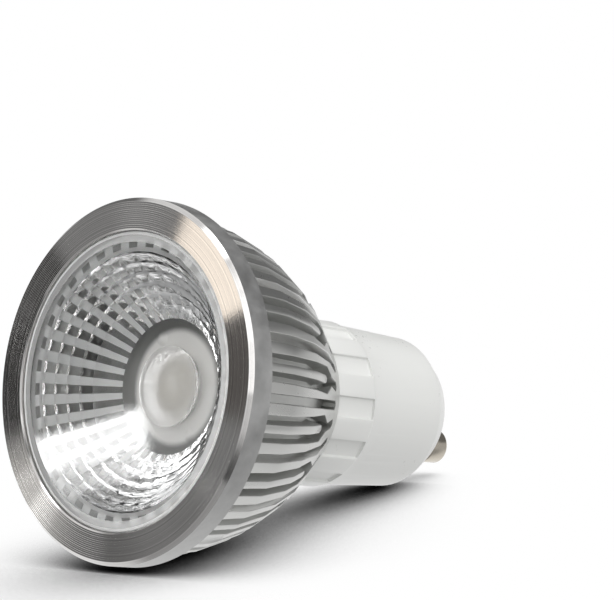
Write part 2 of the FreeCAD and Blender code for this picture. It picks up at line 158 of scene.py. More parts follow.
def mixed_colour(tree: Tree, factor: Value, first: object, second: object) -> Socket:
    """Adds a mix of two colours, the second at factor 1, and returns the colour."""
    sockets = {"Factor": factor, 6: first, 7: second}
    return add_node(tree, "ShaderNodeMix", sockets, data_type="RGBA").outputs[2]


def mixed_shader(tree: Tree, share: Socket, first: Node, second: Node) -> Node:
    """Adds a mix of two shaders, the second at share 1, and returns the node."""
    sockets = {0: share, 1: first.outputs[0], 2: second.outputs[0]}
    return add_node(tree, "ShaderNodeMixShader", sockets)


def opaque(colour: Colour, level: float = 1.0) -> tuple[float, float, float, float]:
    """Returns a colour at a level, with full alpha."""
    return (colour[0] * level, colour[1] * level, colour[2] * level, 1.0)


def object_place(tree: Tree) -> Socket:
    """Adds the place on the piece and returns it."""
    return add_node(tree, "ShaderNodeTexCoord").outputs["Object"]


def axis_distance(tree: Tree, place: Socket) -> Socket:
    """Adds a place's distance from the lamp's axis and returns it."""
    flat = vector_node(tree, "MULTIPLY", place, (1.0, 1.0, 0.0)).outputs[0]
    return vector_node(tree, "LENGTH", flat).outputs["Value"]


def bump(tree: Tree, height: Socket, depth: float, under: Socket | None = None) -> Socket:
    """Adds a relief.

    Args:
        tree: The node tree that gets the node.
        height: The relief's height, from 0 to 1.
        depth: Its depth in millimetres.
        under: The normal of a relief that this one lies on, if any.

    Returns:
        The normal.
    """
    sockets = {"Height": height, "Distance": depth * MM, "Strength": 1.0}
    if under is not None:
        sockets["Normal"] = under
    return add_node(tree, "ShaderNodeBump", sockets).outputs[0]


def shared_group(
    name: str, inputs: dict[str, float], outputs: Iterable[str], fill: Callable[[Tree, Node], dict]
) -> Tree:
    """Makes a shader node group once and hands the same one out after that.

    Args:
        name: The group's name.
        inputs: Input names and their defaults.
        outputs: Output names, all plain values.
        fill: Builds the nodes from the tree and its input node, and returns output name to socket.

    Returns:
        The group's node tree.
    """
    made = bpy.data.node_groups.get(name)
    if made:
        return made
    tree = bpy.data.node_groups.new(name, "ShaderNodeTree")
    for label, default in inputs.items():
        socket = tree.interface.new_socket(label, in_out="INPUT", socket_type="NodeSocketFloat")
        socket.default_value = default
    for label in outputs:
        tree.interface.new_socket(label, in_out="OUTPUT", socket_type="NodeSocketFloat")
    entry = tree.nodes.new("NodeGroupInput")
    add_node(tree, "NodeGroupOutput", fill(tree, entry))
    return tree


def surface_grain() -> Tree:
    """Returns the group for uneven gloss, fine relief and faint blotches."""

    def fill(tree: Tree, entry: Node) -> dict:
        """Builds the group's nodes and returns its outputs."""
        place = object_place(tree)
        scale = entry.outputs["Scale"]
        fine = add_node(
            tree,
            "ShaderNodeTexNoise",
            {"Vector": place, "Scale": scale, "Detail": 5.0, "Roughness": 0.6},
        ).outputs[0]
        broad = add_node(
            tree,
            "ShaderNodeTexNoise",
            {"Vector": place, "Scale": math_node(tree, "MULTIPLY", scale, BROAD_SCALE), "Detail": 3.0},
        ).outputs[0]
        both = math_node(tree, "ADD", fine, broad)
        offset = math_node(tree, "SUBTRACT", both, 1.0)
        spread = entry.outputs["Spread"]
        gloss = math_node(tree, "MULTIPLY_ADD", offset, spread, entry.outputs["Roughness"])
        return {"Roughness": gloss, "Height": fine, "Blotch": broad}

    inputs = {"Scale": 1500.0, "Roughness": 0.4, "Spread": 0.1}
    return shared_group("surface_grain", inputs, ("Roughness", "Height", "Blotch"), fill)


def turning_marks() -> Tree:
    """Returns the group for the fine rings that a lathe tool leaves round the lamp's axis."""

    def fill(tree: Tree, entry: Node) -> dict:
        """Builds the group's nodes and returns its outputs."""
        place = object_place(tree)
        height = add_node(tree, "ShaderNodeSeparateXYZ", {0: place}).outputs["Z"]
        travel = math_node(tree, "ADD", axis_distance(tree, place), height)
        turns = math_node(tree, "MULTIPLY", travel, entry.outputs["Lines"])
        marks = add_node(
            tree,
            "ShaderNodeTexNoise",
            {"W": turns, "Scale": 1.0, "Detail": 2.0},
            noise_dimensions="1D",
        ).outputs[0]
        return {"Height": marks, "Gloss": math_node(tree, "SUBTRACT", marks, 0.5)}

    return shared_group("turning_marks", {"Lines": 8000.0}, ("Height", "Gloss"), fill)


def blank_material(name: str) -> tuple[bpy.types.Material, Tree]:
    """Makes an empty material.

    Args:
        name: The material's name.

    Returns:
        The material and its node tree.
    """
    material = bpy.data.materials.new(name)
    material.use_nodes = True
    material.node_tree.nodes.clear()
    return material, material.node_tree


def set_surface(tree: Tree, shader: Node, kind: str = "ShaderNodeOutputMaterial") -> None:
    """Adds a tree's output node and feeds it a shader."""
    add_node(tree, kind, {"Surface": shader.outputs[0]})


# Finishes


@dataclass(frozen=True)
class Finish:
    """What every finish has: a colour, a gloss and a fine grain."""

    name: str
    colour: Colour
    roughness: float
    spread: float = 0.1
    grain: float = 1500.0
    grain_depth: float = 0.002

    def grain_node(self, tree: Tree) -> Node:
        """Places the grain with this finish's values."""
        sockets = {"Scale": self.grain, "Roughness": self.roughness, "Spread": self.spread}
        return add_node(tree, "ShaderNodeGroup", sockets, node_tree=surface_grain())

    def relief(self, tree: Tree, grain: Node) -> Socket:
        """Returns the normal that the grain gives."""
        return bump(tree, grain.outputs["Height"], self.grain_depth)

    def blotched(self, tree: Tree, grain: Node, loss: float) -> Socket:
        """Returns the colour, darker by up to a share of it in the grain's blotches."""
        dark = opaque(self.colour, 1.0 - loss)
        return mixed_colour(tree, grain.outputs["Blotch"], dark, opaque(self.colour))

    def material(self) -> bpy.types.Material:
        """Returns the finish as a material."""
        raise NotImplementedError


@dataclass(frozen=True)
class Metal(Finish):
    """A bare or plated metal, with lathe marks where it was turned."""

    spread: float = 0.08
    grain: float = 1600.0
    grain_depth: float = 0.0015
    dulling: float = 0.12
    lines: float = 0.0
    line_depth: float = 0.0
    line_gloss: float = 0.0
    line_shade: float = 0.0
    anisotropy: float = 0.0

    @functools.cache
    def material(self) -> bpy.types.Material:
        """Returns the finish as a material, made once."""
        material, tree = blank_material(self.name)
        grain = self.grain_node(tree)
        tint = self.blotched(tree, grain, self.dulling)
        gloss = grain.outputs["Roughness"]
        relief = self.relief(tree, grain)
        if self.lines:
            marks = add_node(tree, "ShaderNodeGroup", {"Lines": self.lines}, node_tree=turning_marks())
            height = marks.outputs["Height"]
            gloss = math_node(tree, "MULTIPLY_ADD", marks.outputs["Gloss"], self.line_gloss, gloss)
            # Painted shade: the colour darkens along the low turning lines, standing in for the grooves'
            # own shade.
            tint = mixed_colour(tree, height, opaque(self.colour, 1.0 - self.line_shade), tint)
            relief = bump(tree, height, self.line_depth, relief)
        sockets = {"Base Color": tint, "Metallic": 1.0, "Roughness": gloss, "Normal": relief}
        if self.anisotropy:
            around = add_node(tree, "ShaderNodeTangent", direction_type="RADIAL", axis="Z")
            sockets["Anisotropic"] = self.anisotropy
            sockets["Anisotropic Rotation"] = QUARTER_TURN
            sockets["Tangent"] = around.outputs[0]
        set_surface(tree, add_node(tree, "ShaderNodeBsdfPrincipled", sockets))
        return material


@dataclass(frozen=True)
class Moulded(Finish):
    """A moulded, coated or printed-circuit surface that isn't metal."""

    spread: float = 0.12
    grain: float = 1200.0
    grain_depth: float = 0.004
    staining: float = 0.06
    coat: float = 0.0
    rim: Range | None = None
    rim_shade_colour: Colour = BLACK

    @functools.cache
    def material(self) -> bpy.types.Material:
        """Returns the finish as a material, made once."""
        material, tree = blank_material(self.name)
        grain = self.grain_node(tree)
        tint = self.blotched(tree, grain, self.staining)
        # Painted shade: a dark ring towards the rim stands in for the shade seen round the lens's dome.
        if self.rim:
            radius = axis_distance(tree, object_place(tree))
            outside = smooth_step(tree, radius, self.rim[0] * MM, self.rim[1] * MM)
            tint = mixed_colour(tree, outside, tint, opaque(self.rim_shade_colour))
        sockets = {
            "Base Color": tint,
            "Roughness": grain.outputs["Roughness"],
            "Coat Weight": self.coat,
            "Normal": self.relief(tree, grain),
        }
        set_surface(tree, add_node(tree, "ShaderNodeBsdfPrincipled", sockets))
        return material


@dataclass(frozen=True)
class Clear(Finish):
    """A clear moulded plastic, polished or frosted, which may look polished when seen at a slant."""

    spread: float = 0.01
    grain: float = 900.0
    grain_depth: float = 0.0008
    ior: float = 1.49
    transmission: float = 1.0
    glance: Range | None = None
    glance_roughness: float = 0.02

    @functools.cache
    def material(self) -> bpy.types.Material:
        """Returns the finish as a material, made once."""
        material, tree = blank_material(self.name)
        grain = self.grain_node(tree)
        sockets = {
            "Base Color": opaque(self.colour),
            "Roughness": grain.outputs["Roughness"],
            "IOR": self.ior,
            "Transmission Weight": self.transmission,
            "Normal": self.relief(tree, grain),
        }
        shader = add_node(tree, "ShaderNodeBsdfPrincipled", sockets)
        if self.glance:
            sockets = {
                "Base Color": opaque(self.colour),
                "Roughness": self.glance_roughness,
                "IOR": self.ior,
                "Transmission Weight": 1.0,
            }
            polished = add_node(tree, "ShaderNodeBsdfPrincipled", sockets)
            facing = add_node(tree, "ShaderNodeLayerWeight", {"Blend": 0.5}).outputs["Facing"]
            shader = mixed_shader(tree, smooth_step(tree, facing, *self.glance), shader, polished)
        set_surface(tree, shader)
        return material


TURNED_ALUMINIUM = Metal(
    "ring_metal",
    (0.88, 0.865, 0.85),
    0.10,
    lines=4200.0,
    line_depth=0.002,
    line_gloss=0.08,
    line_shade=0.45,
    anisotropy=0.85,
)
BLASTED_ALUMINIUM = Metal(
    "blasted_metal",
    (0.58, 0.58, 0.575),
    0.40,
    spread=0.30,
    grain=5000.0,
    grain_depth=0.012,
    dulling=0.45,
)
CAST_ALUMINIUM = Metal("fin_metal", (0.58, 0.582, 0.568), 0.30, spread=0.12, grain_depth=0.003)
CAST_GAP = Metal("gap_metal", (0.60, 0.604, 0.59), 0.46, spread=0.12, grain_depth=0.004)
CAST_BOWL = Metal("bowl_metal", (0.80, 0.80, 0.79), 0.34, spread=0.10, grain_depth=0.004)
NICKEL_PLATE = Metal(
    "pin_nickel",
    (0.62, 0.57, 0.49),
    0.16,
    lines=5000.0,
    line_depth=0.002,
    line_gloss=0.15,
)
STEEL_SCREW = Metal("screw_metal", (0.60, 0.60, 0.60), 0.32)
WHITE_PLASTIC = Moulded("base_plastic", (0.83, 0.835, 0.815), 0.30, grain_depth=0.003, staining=0.03)
CLEAR_LENS = Clear("lens_clear", (0.985, 0.99, 0.99), 0.015)
FROSTED_LENS = Clear(
    "lens_frosted",
    (0.95, 0.955, 0.95),
    0.30,
    spread=0.08,
    grain_depth=0.01,
    transmission=0.10,
    glance=(0.25, 0.45),
)
FROSTED_EDGE = Clear(
    "lens_edge",
    (0.95, 0.955, 0.95),
    0.30,
    spread=0.08,
    grain_depth=0.01,
    transmission=0.50,
)
HAZY_EDGE = Clear(
    "lens_haze",
    (0.95, 0.955, 0.95),
    0.20,
    spread=0.08,
    grain_depth=0.006,
    transmission=0.72,
)
FROSTED_DOME = Clear(
    "dome_frosted",
    (0.92, 0.90, 0.865),
    0.22,
    spread=0.08,
    grain_depth=0.004,
    transmission=0.40,
)
# The board's dark rim is painted shade, standing in for the shade seen round the lens's dome.
WHITE_BOARD = Moulded(
    "emitter_board",
    (0.80, 0.79, 0.77),
    0.35,
    staining=0.05,
    rim=(7.3, 8.5),
    rim_shade_colour=(0.15, 0.15, 0.145),
)
WHITE_SILICONE = Moulded("dam_silicone", (0.86, 0.86, 0.84), 0.5)
PHOSPHOR = Moulded("phosphor_gel", (0.70, 0.67, 0.58), 0.6, staining=0.1)
CAN_SLEEVE = Moulded("can_sleeve", (0.05, 0.06, 0.08), 0.3, coat=0.3)
CHIP_EPOXY = Moulded("chip_epoxy", (0.04, 0.04, 0.04), 0.45)

INNER_FINISHES = {
    "thermal_pad": Moulded("heat_pad", (0.40, 0.41, 0.43), 0.7),
    "housing_screws": STEEL_SCREW,
    "driver_board": Moulded("circuit_board", (0.06, 0.24, 0.11), 0.35, staining=0.25),
    "live_wire": Moulded("live_insulation", (0.24, 0.12, 0.06), 0.45),
    "neutral_wire": Moulded("neutral_insulation", (0.06, 0.14, 0.45), 0.45),
    "led_wire_positive": Moulded("positive_insulation", (0.50, 0.05, 0.04), 0.45),
    "led_wire_negative": Moulded("negative_insulation", (0.03, 0.03, 0.03), 0.45),
    "fuse_resistor": Moulded("resistor_lacquer", (0.20, 0.32, 0.25), 0.5),
    "input_capacitor": CAN_SLEEVE,
    "output_capacitor": CAN_SLEEVE,
    "transformer_core": Moulded("core_ferrite", (0.11, 0.11, 0.12), 0.55, staining=0.3),
    "transformer_winding": Moulded("yellow_tape", (0.72, 0.56, 0.08), 0.3, coat=0.4),
    "rectifier_diode": CHIP_EPOXY,
    "driver_chip": CHIP_EPOXY,
    "bridge_rectifier": CHIP_EPOXY,
}


# Mesh helpers


def outline(mesh: Mesh, points: Sequence[tuple[float, float]], closed: bool = False) -> list:
    """Draws a chain of edges in the half plane Y = 0.

    Args:
        mesh: The mesh that gets the chain.
        points: Radius and height of each corner, in millimetres.
        closed: Whether the last corner joins the first.

    Returns:
        The chain's edges, in order.
    """
    corners = [mesh.verts.new((radius * MM, 0.0, height * MM)) for radius, height in points]
    pairs = list(zip(corners, corners[1:]))
    if closed:
        pairs.append((corners[-1], corners[0]))
    return [mesh.edges.new(pair) for pair in pairs]


def spin(mesh: Mesh, steps: int, angle: float = math.tau, repeat: bool = False) -> None:
    """Spins everything drawn so far round the lamp's axis.

    Args:
        mesh: The mesh.
        steps: Number of steps.
        angle: Angle in radians, a full turn unless told.
        repeat: Whether the shape is copied at each step, not swept.
    """
    faces = list(mesh.faces) if repeat else []
    bmesh.ops.spin(
        mesh,
        geom=list(mesh.verts) + list(mesh.edges) + faces,
        cent=ORIGIN,
        axis=AXIS,
        angle=angle,
        steps=steps,
        use_merge=angle == math.tau,
        use_duplicate=repeat,
    )


def weld(mesh: Mesh) -> None:
    """Merges doubled vertices and turns every face outwards."""
    bmesh.ops.remove_doubles(mesh, verts=list(mesh.verts), dist=WELD_DISTANCE)
    bmesh.ops.dissolve_degenerate(mesh, edges=list(mesh.edges), dist=WELD_DISTANCE)
    bmesh.ops.recalc_face_normals(mesh, faces=list(mesh.faces))


def rounded(mesh: Mesh, geom: list, size: float, segments: int, affect: str = "EDGES") -> None:
    """Rounds edges, or the corners of an outline.

    Args:
        mesh: The mesh.
        geom: The edges or vertices.
        size: Width of the rounding in millimetres.
        segments: Number of its steps.
        affect: "EDGES" or "VERTICES".
    """
    bmesh.ops.bevel(
        mesh,
        geom=geom,
        offset=size * MM,
        offset_type="OFFSET",
        affect=affect,
        segments=segments,
        profile=0.5,
        material=-1,
        clamp_overlap=True,
    )


def outer_edges(mesh: Mesh, lowest: float, inner_radius: float, sharp_angle: float) -> list:
    """Finds the sharp edges on the outside of a solid.

    Args:
        mesh: The solid's mesh.
        lowest: Height above which an edge counts.
        inner_radius: Distance from the axis beyond which it counts.
        sharp_angle: Angle in degrees past which it is sharp.

    Returns:
        The edges.
    """

    def is_outside(vert: bmesh.types.BMVert) -> bool:
        """Tells whether a corner lies high and far out enough."""
        return vert.co.z > lowest * MM and math.hypot(vert.co.x, vert.co.y) > inner_radius * MM

    limit = math.radians(sharp_angle)
    return [
        edge
        for edge in mesh.edges
        if all(is_outside(vert) for vert in edge.verts) and edge.calc_face_angle(0.0) > limit
    ]


def solid_copy(node: str) -> Mesh:
    """Copies a solid's mesh, merged and with its flat faces whole.

    Args:
        node: Name of the solid.

    Returns:
        The copy, as a mesh to edit.
    """
    mesh = bmesh.new()
    mesh.from_mesh(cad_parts[node].data)
    weld(mesh)
    bmesh.ops.dissolve_limit(
        mesh, angle_limit=FLAT_ANGLE, verts=list(mesh.verts), edges=list(mesh.edges)
    )
    return mesh


def as_piece(
    name: str, mesh: Mesh, finishes: Sequence[Finish], node: str | None, crease: float
) -> bpy.types.Object:
    """Turns an edited mesh into a piece of the lamp.

    Args:
        name: The piece's name.
        mesh: The edited mesh, which is freed.
        finishes: Finishes in the order of the faces' material numbers.
        node: The solid that the piece stands for, if any.
        crease: Angle between faces, in degrees, past which an edge stays sharp.

    Returns:
        The new object.
    """
    data = bpy.data.meshes.new(name)
    mesh.to_mesh(data)
    mesh.free()
    for finish in finishes:
        data.materials.append(finish.material())
    data.shade_smooth()
    data.set_sharp_from_angle(angle=math.radians(crease))
    piece = bpy.data.objects.new(name, data)
    bpy.context.scene.collection.objects.link(piece)
    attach(piece, BODY)
    if node:
        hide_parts(node)
    LOG.info("%s: %d faces", name, len(data.polygons))
    return piece


def dress(node: str, finish: Finish) -> None:
    """Gives a solid that keeps its own mesh its finish."""
    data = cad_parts[node].data
    data.materials.clear()
    data.materials.append(finish.material())
    LOG.info("%s: dressed", node)


# Sub-assemblies


@dataclass
class FrontRing:
    """The turned aluminium ring, with real tool grooves across its face."""

    opening_radius: float = 20.55
    opening_break: float = 0.2
    radius: float = 25.0
    chamfer: float = 0.55
    lip_back: float = 1.2
    skirt_radius: float = 23.0
    back: float = 4.0
    back_break: float = 0.2
    grooves: int = 14
    groove_tilt: float = 8.0
    groove_share: float = 0.86
    steps: int = 288
    crease: float = 20.0

    def build(self) -> bpy.types.Object:
        """Spins the ring's section and returns the piece."""
        mesh = bmesh.new()
        face_start = self.opening_radius + self.opening_break
        face_end = self.radius - self.chamfer
        edges = outline(
            mesh,
            (
                (face_start, 0.0),
                (face_end, 0.0),
                (self.radius, self.chamfer),
                (self.radius, self.back - self.back_break),
                (self.radius - self.back_break, self.back),
                (self.skirt_radius, self.back),
                (self.skirt_radius, self.lip_back),
                (self.opening_radius, self.lip_back),
                (self.opening_radius, self.opening_break),
            ),
            closed=True,
        )
        self.cut_grooves(mesh, edges[0], face_start, face_end)
        spin(mesh, self.steps)
        weld(mesh)
        for face in mesh.faces:
            middle = face.calc_center_median() / MM
            at_side = math.hypot(middle.x, middle.y) > self.radius - SLACK
            face.material_index = RingZone.BLASTED_SIDE if at_side else RingZone.TURNED
        finishes = [TURNED_ALUMINIUM, BLASTED_ALUMINIUM]
        return as_piece(
            "turned_front_ring", mesh, finishes, "front_ring", self.crease
        )

    def cut_grooves(self, mesh: Mesh, edge: bmesh.types.BMEdge, start: float, end: float) -> None:
        """Breaks the face's line into a row of shallow saw teeth.

        Args:
            mesh: The mesh that holds the section.
            edge: The line of the face.
            start: Radius where the face begins.
            end: Radius where it ends.
        """
        pitch = (end - start) / self.grooves
        rise = pitch * self.groove_share * math.tan(math.radians(self.groove_tilt))
        cut = bmesh.ops.subdivide_edges(mesh, edges=[edge], cuts=2 * self.grooves - 1)
        inner = [item for item in cut["geom_inner"] if isinstance(item, bmesh.types.BMVert)]
        for vert in inner:
            place = round((vert.co.x / MM - start) / (pitch / 2.0))
            if place % 2:
                tooth = (place - 1) / 2
                vert.co.x = (start + (tooth + self.groove_share) * pitch) * MM
                vert.co.z = rise * MM


@dataclass
class Lens:
    """The clear collimating lens: flat front, ringed and beaded wall, frosted strips and dome."""

    flange_radius: float = 22.9
    pad_radius: float = 20.35
    pad_front: float = 0.4
    edge_radius: float = 19.95
    polished_radius: float = 18.95
    front: float = 1.2
    flange_back: float = 2.8
    edge_break: float = 0.12
    tick_ends: Range = (18.4, 19.3)
    body_radius: float = 17.8
    foot_radius: float = 9.4
    foot: float = 17.0
    well_radius: float = 5.6
    well_side: float = 0.8
    dome_height: float = 2.4
    sectors: int = 36
    rows: int = 6
    strip_steps: int = 4
    row_steps: int = 4
    ripple: float = 0.16
    bead: float = 0.06
    flatness: float = 0.35
    frosted_share: float = 0.5
    dome_steps: int = 12
    crease: float = 12.0

    def wall_point(self, share: float) -> tuple[float, float]:
        """Radius and height of the wall's rib line at a share of the way from flange to foot."""
        height = self.flange_back + share * (self.foot - self.flange_back)
        square = (1.0 - share) * self.body_radius**2 + share * self.foot_radius**2
        return math.sqrt(square), height

    def section(self) -> list[tuple[float, float]]:
        """Returns the corners of the lens from the front's middle, round the wall, to the dome's top."""
        rim = self.flange_radius
        corners = [
            (0.0, self.pad_front),
            (self.polished_radius, self.pad_front),
            (self.edge_radius, self.pad_front),
            (self.pad_radius - self.edge_break, self.pad_front),
            (self.pad_radius, self.pad_front + self.edge_break),
            (self.pad_radius, self.front),
            (rim - self.edge_break, self.front),
            (rim, self.front + self.edge_break),
            (rim, self.flange_back - self.edge_break),
            (rim - self.edge_break, self.flange_back),
            (self.tick_ends[1], self.flange_back),
            (self.tick_ends[0], self.flange_back),
        ]
        for row in range(self.rows):
            here = Vector(self.wall_point(row / self.rows))
            there = Vector(self.wall_point((row + 1) / self.rows))
            corners += [tuple(here.lerp(there, step / self.row_steps)) for step in range(self.row_steps)]
        corners += [(self.foot_radius, self.foot), (self.well_radius, self.foot)]
        dome = (self.well_radius**2 + self.dome_height**2) / (2.0 * self.dome_height)
        half = math.asin(self.well_radius / dome)
        top = self.foot - self.well_side - self.dome_height
        for step in range(self.dome_steps + 1):
            lean = half * (1.0 - step / self.dome_steps)
            corners.append((dome * math.sin(lean), top + dome * (1.0 - math.cos(lean))))
        return corners

    def build(self) -> bpy.types.Object:
        """Spins one sector, shapes its wall, repeats it round the axis and returns the piece."""
        mesh = bmesh.new()
        sector = math.tau / self.sectors
        outline(mesh, self.section())
        bmesh.ops.rotate(
            mesh, verts=list(mesh.verts), cent=ORIGIN, matrix=Matrix.Rotation(-sector / 2.0, 3, AXIS)
        )
        spin(mesh, 2 * self.strip_steps, sector)
        self.shape_wall(mesh, sector)
        spin(mesh, self.sectors - 1, math.tau - sector, repeat=True)
        weld(mesh)
        for face in mesh.faces:
            face.material_index = self.zone(face, sector)
        finishes = [CLEAR_LENS, FROSTED_LENS, FROSTED_DOME, FROSTED_EDGE, HAZY_EDGE]
        return as_piece("faceted_lens", mesh, finishes, "lens", self.crease)

    def shape_wall(self, mesh: Mesh, sector: float) -> None:
        """Flattens the wall of one sector, swells each row and adds a bead in its clear strip.

        Args:
            mesh: The mesh of one sector.
            sector: Its angle in radians.
        """
        for vert in mesh.verts:
            radius = math.hypot(vert.co.x, vert.co.y)
            height = vert.co.z / MM
            on_wall = self.flange_back - SLACK < height < self.foot + SLACK
            if not on_wall or not self.foot_radius - SLACK < radius / MM < self.body_radius + SLACK:
                continue
            angle = math.atan2(vert.co.y, vert.co.x)
            across = max(0.0, 1.0 - (4.0 * angle / sector - 1.0) ** 2)
            row = (height - self.flange_back) / (self.foot - self.flange_back) * self.rows
            along = 1.0 - (2.0 * (row - math.floor(row + SLACK)) - 1.0) ** 2
            chord = math.cos(sector / 2.0) / math.cos(angle)
            raised = (self.ripple + self.bead * across) * max(0.0, along)
            scale = 1.0 - self.flatness * (1.0 - chord) + raised * MM / radius
            vert.co.x *= scale
            vert.co.y *= scale

    def zone(self, face: bmesh.types.BMFace, sector: float) -> LensZone:
        """Finds the zone of a face.

        Args:
            face: A face of the whole lens.
            sector: Angle of one sector in radians.

        Returns:
            The zone; the flange's back is frosted too, but for a row of clear ticks.
        """
        middle = face.calc_center_median() / MM
        radius = math.hypot(middle.x, middle.y)
        if middle.z < self.front + SLACK:
            if radius > self.edge_radius:
                return LensZone.FROSTED_EDGE
            return LensZone.HAZY_EDGE if radius > self.polished_radius else LensZone.POLISHED
        if radius < self.well_radius - SLACK:
            return LensZone.DOME
        if radius > self.tick_ends[1] or self.body_radius < radius < self.tick_ends[0]:
            return LensZone.FROSTED_EDGE
        share = (math.atan2(middle.y, middle.x) / sector + 0.5) % 1.0
        frosted = share < self.frosted_share and middle.z < self.foot - SLACK
        return LensZone.FROSTED_STRIP if frosted else LensZone.POLISHED


@dataclass
class FinnedBody:
    """The cast aluminium body: the solid's fins with their edges rounded."""

    shoulder: float = 4.05
    core_radius: float = 12.4
    foot_radius: float = 23.8
    neck_radius: float = 14.7
    neck: float = 27.0
    bell_radius: float = 35.0
    gap_depth: float = 1.1
    bowl_radius: float = 20.3
    bowl_floor: float = 20.1
    outward_limit: float = 0.5
    rounding: float = 0.14
    rounding_steps: int = 2
    sharp_angle: float = 28.0
    crease: float = 24.0

    def build(self) -> bpy.types.Object:
        """Rounds the fins' edges and returns the piece."""
        mesh = solid_copy("heat_sink")
        for face in mesh.faces:
            face.material_index = self.zone(face)
        edges = outer_edges(mesh, self.shoulder, self.core_radius, self.sharp_angle)
        rounded(mesh, edges, self.rounding, self.rounding_steps)
        finishes = [CAST_ALUMINIUM, CAST_GAP, CAST_BOWL]
        return as_piece("finned_body", mesh, finishes, "heat_sink", self.crease)

    def bell(self, height: float) -> float:
        """Radius of the curve that the fins' outer faces follow, at a height."""
        foot = Vector((self.foot_radius, self.shoulder))
        top = Vector((self.neck_radius, self.neck))
        run = top - foot
        inward = Vector((-run.y, run.x)).normalized()
        depth = math.sqrt(self.bell_radius**2 - run.length_squared / 4.0)
        centre = (foot + top) / 2.0 + inward * depth
        rise = min(max(height, self.shoulder), self.neck) - centre.y
        return centre.x + math.sqrt(self.bell_radius**2 - rise**2)

    def zone(self, face: bmesh.types.BMFace) -> BodyZone:
        """Finds the zone of a face.

        Args:
            face: A face of the body.

        Returns:
            The zone.
        """
        middle = face.calc_center_median() / MM
        radius = math.hypot(middle.x, middle.y)
        outward = (face.normal.x * middle.x + face.normal.y * middle.y) / max(radius, SLACK)
        faces_out = outward > self.outward_limit
        if middle.z < self.bowl_floor and radius < self.bowl_radius and not faces_out:
            return BodyZone.BOWL
        if middle.z > self.neck or middle.z < self.shoulder:
            return BodyZone.OUTSIDE
        on_bell = radius > self.bell(middle.z) - self.gap_depth
        return BodyZone.OUTSIDE if faces_out and on_bell else BodyZone.GAP


@dataclass
class Base:
    """The white moulded base, with its edges softened."""

    rounding: float = 0.18
    rounding_steps: int = 3
    sharp_angle: float = 18.0
    lowest: float = 30.0
    inner_radius: float = 9.6
    crease: float = 24.0

    def build(self) -> bpy.types.Object:
        """Softens the outer edges and returns the piece."""
        mesh = solid_copy("base_housing")
        edges = outer_edges(mesh, self.lowest, self.inner_radius, self.sharp_angle)
        rounded(mesh, edges, self.rounding, self.rounding_steps)
        return as_piece(
            "moulded_base", mesh, [WHITE_PLASTIC], "base_housing", self.crease
        )


@dataclass
class ContactPin:
    """A nickel-plated bayonet pin, turned with rounded edges."""

    node: str
    neck_radius: float = 1.55
    head_radius: float = 2.5
    head_start: float = 58.9
    head_edge: float = 0.4
    head_edge_steps: int = 4
    rivet_radius: float = 2.1
    roof: float = 53.0
    steps: int = 72
    crease: float = 24.0

    def build(self) -> bpy.types.Object:
        """Spins the pin's section, sets it over its own axis and returns the piece."""
        low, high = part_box(self.node)
        middle = (low + high) / 2.0
        foot = low.z / MM
        tip = high.z / MM
        mesh = bmesh.new()
        outline(
            mesh,
            (
                (0.0, foot),
                (self.rivet_radius, foot),
                (self.rivet_radius, self.roof),
                (self.neck_radius, self.roof),
                (self.neck_radius, self.head_start),
                (self.head_radius, self.head_start),
                (self.head_radius, tip),
                (0.0, tip),
            ),
        )
        head = [vert for vert in mesh.verts if vert.co.x > (self.head_radius - SLACK) * MM]
        rounded(mesh, head, self.head_edge, self.head_edge_steps, "VERTICES")
        spin(mesh, self.steps)
        weld(mesh)
        bmesh.ops.translate(mesh, verts=list(mesh.verts), vec=(middle.x, middle.y, 0.0))
        name = "bayonet_" + self.node.removeprefix("contact_")
        return as_piece(name, mesh, [NICKEL_PLATE], self.node, self.crease)


@dataclass
class Emitter:
    """The board, dam and phosphor that show through the lens, and the seals over the wires' ends.

    A seal's crown is given as shares of the wire's radius and of the seal's height, its shoulder as
    shares of the foot's width and of the height.
    """

    wires: tuple[str, ...] = ("led_wire_positive", "led_wire_negative")
    seal_height: float = 0.45
    seal_foot: float = 0.5
    seal_crown: Range = (0.7, 0.9)
    seal_shoulder: Range = (0.25, 0.5)
    steps: int = 24
    crease: float = 60.0

    def build_seals(self) -> bpy.types.Object:
        """Spins a drop of silicone over each wire's end on the board and returns the piece."""
        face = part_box("led_board")[0].z / MM
        mesh = bmesh.new()
        for wire in self.wires:
            ends = [vert.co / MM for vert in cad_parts[wire].data.vertices if vert.co.z < face * MM]
            middle = sum(ends, Vector()) / len(ends)
            reach = max(math.hypot(end.x - middle.x, end.y - middle.y) for end in ends)
            crown = (self.seal_crown[0] * reach, face - self.seal_crown[1] * self.seal_height)
            shoulder_radius = reach + self.seal_shoulder[0] * self.seal_foot
            shoulder = (shoulder_radius, face - self.seal_shoulder[1] * self.seal_height)
            top = (0.0, face - self.seal_height)
            drop = bmesh.new()
            outline(drop, (top, crown, shoulder, (reach + self.seal_foot, face), (0.0, face)))
            spin(drop, self.steps)
            bmesh.ops.translate(drop, verts=list(drop.verts), vec=(middle.x * MM, middle.y * MM, 0.0))
            part = bpy.data.meshes.new("silicone_drop")
            drop.to_mesh(part)
            drop.free()
            mesh.from_mesh(part)
            bpy.data.meshes.remove(part)
        weld(mesh)
        return as_piece("wire_seals", mesh, [WHITE_BOARD], None, self.crease)

    def dress(self) -> None:
        """Gives the emitter's solids their finishes."""
        dress("led_board", WHITE_BOARD)
        dress("led_dam", WHITE_SILICONE)
        dress("led_phosphor", PHOSPHOR)


@dataclass
class Driver:
    """The pieces inside the base, which keep their solids' meshes."""

    def dress(self) -> None:
        """Gives each inner solid its finish."""
        for node, finish in INNER_FINISHES.items():
            dress(node, finish)


# Stage


@dataclass(frozen=True)
class Card:
    """A bright or dark panel of the studio, as ranges of direction seen from the lamp."""

    level: float
    tint: Colour = WHITE
    across: Range = (-FAR, FAR)
    upward: Range = (-FAR, FAR)
    nearer: Range = (-FAR, FAR)
    softness: float = 0.1
    lean: float = 0.0
    slant: float = 0.0


